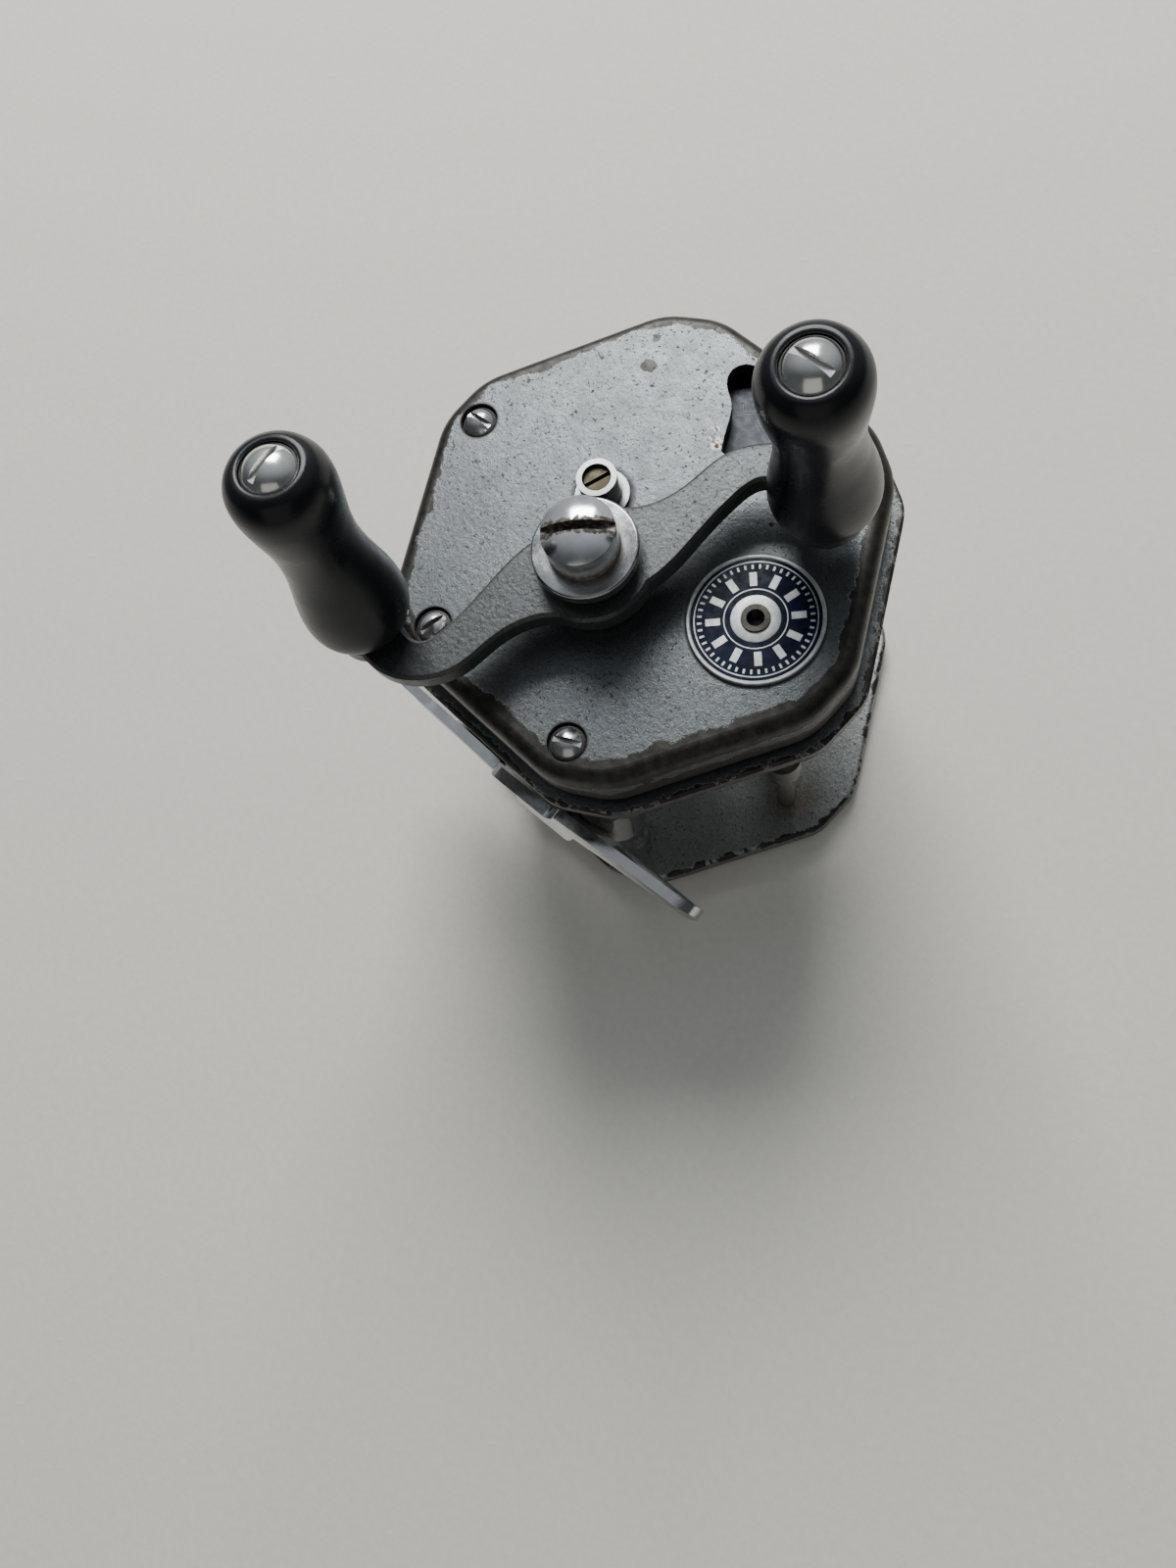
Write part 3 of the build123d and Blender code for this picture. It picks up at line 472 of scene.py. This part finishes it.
def dial_lacquer():
    """Dark blue-grey lacquer on the regulator dial, with a paler engraved arc and ticks, and painted shade
    near the window's walls.
    """
    paint = Paint("dial_plate")
    reach = paint.away_from(REGULATOR)
    arc = paint.ramp(paint.math("ABSOLUTE", paint.minus(reach, 5.4)), 0.16, 0.08)
    across = paint.minus(paint.x, REGULATOR[0])
    angle = paint.math("ARCTAN2", paint.minus(paint.y, REGULATOR[1]), across)
    fold = paint.math("ABSOLUTE", paint.math("WRAP", angle, math.radians(7.5), -math.radians(7.5)))
    tick = paint.ramp(paint.times(fold, reach), 0.17, 0.09)
    band = paint.both(paint.ramp(reach, 5.9, 6.0), paint.ramp(reach, 7.3, 7.2))
    marks = paint.any_of(arc, paint.both(tick, band), paint.line((-1.5, 25.7), (1.7, 24.2), 0.14))
    tone = paint.scaled((0.022, 0.027, 0.037), paint.ramp(paint.noise(2.5, 4.0), 0.3, 0.7, 0.75, 1.15))
    # Near black close to the window's walls: painted shade of the walls on the dial.
    tone = paint.mix(paint.times(paint.hollow_shade_and_dirt(4.0), 0.9), tone, (0.004, 0.004, 0.005))
    tone = paint.mix(marks, tone, (0.060, 0.066, 0.078))
    rough = paint.ramp(paint.noise(1.0, 3.0), 0.3, 0.7, 0.38, 0.52)
    height = paint.minus(paint.times(paint.noise(0.3), 0.4), marks)
    return paint.finish(tone, rough, 0.2, height, 0.04)


def red_fibre():
    """Vulcanised fibre washer: matt, mottled, soaked with oil at the bore."""
    paint = Paint("fibre")
    fleck = paint.noise(0.25, 3.0, 0.6, (1.0, 0.4, 1.0))
    tone = paint.scaled((0.26, 0.085, 0.045), paint.ramp(fleck, 0.3, 0.7, 0.7, 1.25))
    tone = paint.mix(paint.ring(CRANK, 3.4, 1.6), tone, (0.07, 0.025, 0.015))
    return paint.finish(tone, paint.ramp(fleck, 0.3, 0.7, 0.55, 0.75), 0.0, fleck, 0.02)


def floor_card():
    """Plain pale floor with the faintest tooth."""
    paint = Paint("floor_card")
    tooth = paint.noise(1.5, 3.0, 0.6)
    tone = paint.scaled((0.77, 0.74, 0.67), paint.ramp(tooth, 0.3, 0.7, 0.97, 1.02))
    return paint.finish(tone, 0.92, 0.0, tooth, 0.05, Specular_IOR_Level=0.2)


# ---------------------------------------------------------------- shapes made here

def mesh_object(name, shape, material_list, sharp=35):
    """Turns a bmesh in millimetres into a smooth-shaded object in metres."""
    bmesh.ops.recalc_face_normals(shape, faces=shape.faces[:])
    mesh = bpy.data.meshes.new(name)
    shape.to_mesh(mesh)
    shape.free()
    mesh.transform(Matrix.Scale(MM, 4))
    mesh.shade_smooth()
    mesh.set_sharp_from_angle(angle=math.radians(sharp))
    for material in material_list:
        mesh.materials.append(material)
    piece = bpy.data.objects.new(name, mesh)
    bpy.context.scene.collection.objects.link(piece)
    return piece


def lathe(shape, profile, place, around=96, material=0):
    """Adds a closed profile of (radius, height) points, turned about a place's own Z."""
    rings = []
    for step in range(around):
        angle = 2 * math.pi * step / around
        turn = Vector((math.cos(angle), math.sin(angle), 0))
        points = [place @ (turn * radius + Vector((0, 0, height))) for radius, height in profile]
        rings.append([shape.verts.new(point) for point in points])
    for step in range(around):
        here, there = rings[step], rings[(step + 1) % around]
        for index in range(len(profile)):
            after = (index + 1) % len(profile)
            face = shape.faces.new((here[index], there[index], there[after], here[after]))
            face.material_index = material


def flowing(points, steps=8):
    """Points along a smooth curve through the given ones."""
    ends = [points[0], *points, points[-1]]
    result = []
    for index in range(1, len(ends) - 2):
        before, start, end, after = (Vector(point) for point in ends[index - 1:index + 3])
        for step in range(steps):
            t = step / steps
            bend = (2 * start + (end - before) * t + (2 * before - 5 * start + 4 * end - after) * t ** 2
                    + (3 * start - before - 3 * end + after) * t ** 3) / 2
            result.append(tuple(bend))
    return result + [tuple(points[-1])]


def knob_place(side):
    """The knob's own place on the arm: 1 is the front knob, -1 the rear one."""
    lean = Vector((side * KNOB_LEAN[0], side * KNOB_LEAN[1], 1)).normalized()
    turn = Vector((0, 0, 1)).rotation_difference(lean).to_matrix().to_4x4()
    base = Vector((CRANK[0] + side * KNOB_REACH[0], CRANK[1] + side * KNOB_REACH[1], ARM_TOP))
    return Matrix.Translation(base) @ turn


def make_knob(side, name, material):
    """A turned knob: rounded base, slim waist, full head with a lipped well for the screw."""
    low = 0.7
    outside = [(4.6, low), (5.9, low + 0.35), (6.9, low + 1.7), (7.3, low + 4.0), (7.05, low + 7.2),
               (6.35, low + 11.0), (5.7, low + 14.8), (5.45, low + 18.5), (5.6, low + 22.0),
               (6.1, low + 25.6), (6.5, low + 29.0), (6.35, low + 31.6), (5.5, low + 33.4),
               (4.5, low + 34.25), (3.95, low + 34.4)]
    well = [(3.62, low + 34.38), (3.54, low + 34.3), (3.53, low + 33.4), (1.76, low + 33.4), (1.76, low)]
    shape = bmesh.new()
    lathe(shape, flowing(outside, 6) + well, knob_place(side), 96)
    piece = mesh_object(name, shape, [material], 50)
    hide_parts(f"knob_{'front' if side > 0 else 'rear'}")
    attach(piece, f"knob_{'front' if side > 0 else 'rear'}")


def wedge(shape, middle, half_angle, inner, outer, low, high, material):
    """Adds a raised mark between two radii about the badge's centre."""
    points = []
    corners = ((inner, half_angle), (outer, half_angle), (outer, -half_angle), (inner, -half_angle))
    for radius, spread in corners:
        angle = middle + spread * inner / radius
        points.append((WORM[0] + radius * math.cos(angle), WORM[1] + radius * math.sin(angle)))
    top = [shape.verts.new((x, y, high)) for x, y in points]
    foot = [shape.verts.new((x, y, low)) for x, y in points]
    faces = [shape.faces.new(top)]
    for index in range(4):
        after = (index + 1) % 4
        faces.append(shape.faces.new((top[index], foot[index], foot[after], top[after])))
    for face in faces:
        face.material_index = material


def make_badge(enamel, bright):
    """The badge: a dished enamel disc in a bright rim, with rings and ticks in place of any lettering."""
    floor = COVER_TOP + 0.55
    crest = COVER_TOP + 0.62
    sunk = floor - 0.1
    raised = crest - 0.02
    shape = bmesh.new()
    place = Matrix.Translation((WORM[0], WORM[1], 0))
    lathe(shape, [(2.05, COVER_TOP), (9.4, COVER_TOP), (9.4, floor), (2.05, floor)], place, 128, 0)
    rim = [(8.95, floor - 0.2), (BADGE_RADIUS, COVER_TOP), (BADGE_RADIUS, crest), (9.38, crest + 0.1),
           (9.1, crest + 0.1), (8.95, crest)]
    lathe(shape, rim, place, 128, 1)
    eye = [(2.06, floor - 0.2), (2.06, crest + 0.05), (3.3, crest + 0.05), (3.44, crest),
           (3.44, floor - 0.2)]
    lathe(shape, eye, place, 96, 1)
    for inner, outer in ((8.30, 8.48), (4.25, 4.40)):
        band = [(inner, sunk), (inner, raised), (outer, raised), (outer, sunk)]
        lathe(shape, band, place, 128, 1)
    for tick in range(48):
        wedge(shape, 2 * math.pi * tick / 48, 0.020, 7.35, 8.0, sunk, raised, 1)
    for ray in range(12):
        wedge(shape, 2 * math.pi * (ray + 0.5) / 12, 0.105, 4.85, 6.85, sunk, crest, 1)
    piece = mesh_object("badge_disc", shape, [enamel, bright], 30)
    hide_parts("badge")
    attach(piece, "frame")


def unit(value):
    """A number held between 0 and 1."""
    return min(max(value, 0.0), 1.0)


def make_worm(material):
    """The level-wind worm: two crossed grooves of opposite hand between plain ends."""
    radius = 3.0
    low, high = 6.5, 49.0
    first, last = 13.5, 42.5
    lead = (last - first) / 3
    depth = 0.6
    half = 0.95
    around, along = 96, 340
    shape = bmesh.new()
    rows = []
    for row in range(along + 1):
        height = low + (high - low) * row / along
        fade = unit(height - first + 1.0) * unit(last + 1.0 - height)
        ring = []
        for step in range(around):
            angle = 2 * math.pi * step / around
            cut = 0.0
            for hand in (1, -1):
                turns = (height - first) / lead - hand * step / around
                gap = abs((turns + 0.5) % 1.0 - 0.5) * lead
                cut = max(cut, unit((half - gap) / 0.35))
            reach = radius - depth * cut * fade
            point = (WORM[0] + reach * math.cos(angle), WORM[1] + reach * math.sin(angle), height)
            ring.append(shape.verts.new(point))
        rows.append(ring)
    for here, there in zip(rows, rows[1:]):
        for step in range(around):
            after = (step + 1) % around
            shape.faces.new((here[step], here[after], there[after], there[step]))
    shape.faces.new(rows[0][::-1])
    shape.faces.new(rows[-1])
    place = Matrix.Translation((WORM[0], WORM[1], 0))
    for bottom, top in ((1.9, low), (high, 61.2)):
        end = [(0.05, bottom), (1.8, bottom), (2.0, bottom + 0.2), (2.0, top - 0.2), (1.8, top),
               (0.05, top)]
        lathe(shape, end, place, 48)
    piece = mesh_object("worm_screw", shape, [material], 40)
    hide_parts("worm_shaft")
    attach(piece, "worm")


# ---------------------------------------------------------------- putting it together

def dress(material, *nodes):
    """Gives CAD nodes a material."""
    for node in nodes:
        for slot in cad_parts[node].material_slots:
            slot.material = material


def dress_everything():
    """Materials for every CAD node that is shown, and the pieces that replace the others."""
    dress(cover_enamel(), "cover")
    dress(arm_enamel(), "crank_arm")
    dress(bush_enamel(), "cover_bush")
    dress(plate_enamel("frame_enamel_head", (0.10, 0.104, 0.103), 51.5, 54.0), "head_plate")
    # The tail plate's tone, over twice the head plate's, is painted light: the same enamel drawn paler
    # where its inner face is lit.
    dress(plate_enamel("frame_enamel_tail", (0.26, 0.268, 0.258), 0.0, 4.0), "tail_plate")
    dress(plating("plated_bright"), "tail_cap", "foot_rivets", "click_button")
    # The collar's low tone, well under the other plating's, is painted dark reflection in its chrome.
    dress(plating("plated_collar", 0.36, 0.10, 0.20, 2.2), "crank_collar")
    dress(plating("plated_oil_tube", 0.25, 0.14, 0.26, 0.9), "oil_tube")
    dress(plating("plated_cap", 0.88, 0.13, 0.20, slot_line=cap_slot_shade_and_reflection), "crank_cap_screw")
    dress(plating("plated_screws", 0.66, 0.20, 0.30, 1.3), "cover_screws", "tail_screws")
    dress(plating("plated_knob_screws", 0.86, 0.15, 0.24, 0.7, warm=0.2),
          "knob_screw_front", "knob_screw_rear")
    dress(plating("plated_foot", 0.58, 0.08, 0.22, 1.6, 0.6), "foot", "foot_bracket")
    dress(plating("plated_pillars", 0.50, 0.16, 0.34, 2.0, 0.7),
          "pillar_rear", "pillar_top", "foot_pillar_rear", "foot_pillar_front")
    dress(plating("plated_guide", 0.26, 0.24, 0.46, 1.6, 0.8, warm=0.5), "line_guide", "pawl_cap")
    dress(plating("badge_eyelet_plate", 0.07, 0.24, 0.44, 1.6, 1.0, warm=0.9), "badge_eyelet")
    steel = turned_metal("steel_crank", STEEL, 0.30, CRANK)
    dress(steel, "drive_shaft", "ratchet_wheel", "drag_washer_steel", "anti_reverse_dog", "dog_pin")
    dress(turned_metal("steel_spindle", STEEL, 0.28, SPOOL), "spool_spindle", "click_pawl")
    dress(turned_metal("steel_guide", (0.34, 0.32, 0.30), 0.36, WORM), "guide_bar", "guide_pawl")
    dress(turned_metal("steel_idler", STEEL, 0.30, IDLER), "idler_pin")
    dress(turned_metal("brass_main", BRASS, 0.32, CRANK), "main_gear")
    dress(turned_metal("brass_spool", BRASS, 0.34, SPOOL), "spool_pinion", "click_wheel")
    dress(turned_metal("brass_worm", BRASS, 0.34, WORM), "worm_gear")
    dress(turned_metal("brass_idler", BRASS, 0.34, IDLER), "idler_gear")
    # The oil screw's near-black tone and full darkening are painted shade down in the oil tube's bore, and
    # dirt.
    dress(turned_metal("brass_oil", (0.075, 0.068, 0.045), 0.42, SPOOL, dirt_and_shade=1.0), "oil_screw")
    dress(turned_metal("bronze_spool", BRONZE, 0.42, SPOOL), "spool_bush_head", "spool_bush_tail")
    dress(turned_metal("bronze_crank", BRONZE, 0.42, CRANK), "drive_bush")
    dress(turned_metal("bronze_worm", BRONZE, 0.42, WORM), "worm_bush_head", "worm_bush_tail")
    dress(turned_metal("alloy_spool", (0.58, 0.59, 0.60), 0.30, SPOOL, 0.45, mottle=0.10), "spool")
    dress(dial_lacquer(), "regulator_dial")
    dress(red_fibre(), "drag_washer_fibre")
    knob = black_thermoset()
    make_knob(1, "knob_turned_front", knob)
    make_knob(-1, "knob_turned_rear", knob)
    make_badge(badge_enamel(), badge_metal())
    make_worm(turned_metal("steel_worm", (0.40, 0.39, 0.37), 0.30, WORM, dirt_and_shade=0.7))


def make_camera():
    """The camera, set where the circles and edges of the frame fall as they should."""
    lens = bpy.data.cameras.new("camera")
    lens.lens = 27.05
    lens.sensor_width = 36.0
    lens.clip_start = 0.005
    camera = bpy.data.objects.new("camera", lens)
    right = Vector((0.7064, 0.6830, -0.1857))
    down = Vector((0.6369, -0.7278, -0.2544))
    forward = Vector((-0.3090, 0.0614, -0.9491))
    place = Matrix((right, -down, -forward)).transposed().to_4x4()
    place.translation = Vector((0.06933, -0.0405, 0.21489))
    camera.matrix_world = place
    bpy.context.scene.collection.objects.link(camera)
    bpy.context.scene.camera = camera


def area_light(name, position, size, energy, colour):
    """A soft square light that faces the reel."""
    light = bpy.data.lights.new(name, "AREA")
    light.size = size
    light.energy = energy
    light.color = colour
    lamp = bpy.data.objects.new(name, light)
    lamp.location = position
    lamp.rotation_euler = (Vector((0, 0, 0.05)) - lamp.location).to_track_quat("-Z", "Y").to_euler()
    bpy.context.scene.collection.objects.link(lamp)


def make_sky():
    """A soft room: cool and bright towards the window side, dim on the other."""
    world = bpy.data.worlds.new("room")
    bpy.context.scene.world = world
    world.use_nodes = True
    tree = world.node_tree
    ways = tree.nodes.new("ShaderNodeTexCoord")
    window = tree.nodes.new("ShaderNodeVectorMath")
    window.operation = "DOT_PRODUCT"
    window.inputs[1].default_value = Vector((-0.46, 0.58, 0.67)).normalized()
    tree.links.new(ways.outputs["Generated"], window.inputs[0])
    strength = tree.nodes.new("ShaderNodeMapRange")
    strength.interpolation_type = "SMOOTHSTEP"
    for socket, number in zip(strength.inputs[1:5], (0.1, 1.0, 0.08, 0.48)):
        socket.default_value = number
    tree.links.new(window.outputs["Value"], strength.inputs[0])
    background = tree.nodes["Background"]
    background.inputs["Color"].default_value = (0.86, 0.93, 1.0, 1.0)
    tree.links.new(strength.outputs[0], background.inputs["Strength"])


def make_floor():
    """A plain floor under the reel."""
    bpy.ops.mesh.primitive_plane_add(size=6)
    floor = bpy.context.object
    floor.name = "floor"
    floor.data.materials.append(floor_card())


dress_everything()
make_camera()
make_sky()
make_floor()
area_light("window", position=(-0.43, 0.43, 0.67), size=0.46, energy=10.0, colour=(0.97, 0.99, 1.0))
area_light("room", position=(0.50, -0.55, 0.45), size=0.80, energy=0.7, colour=(1.0, 0.96, 0.90))
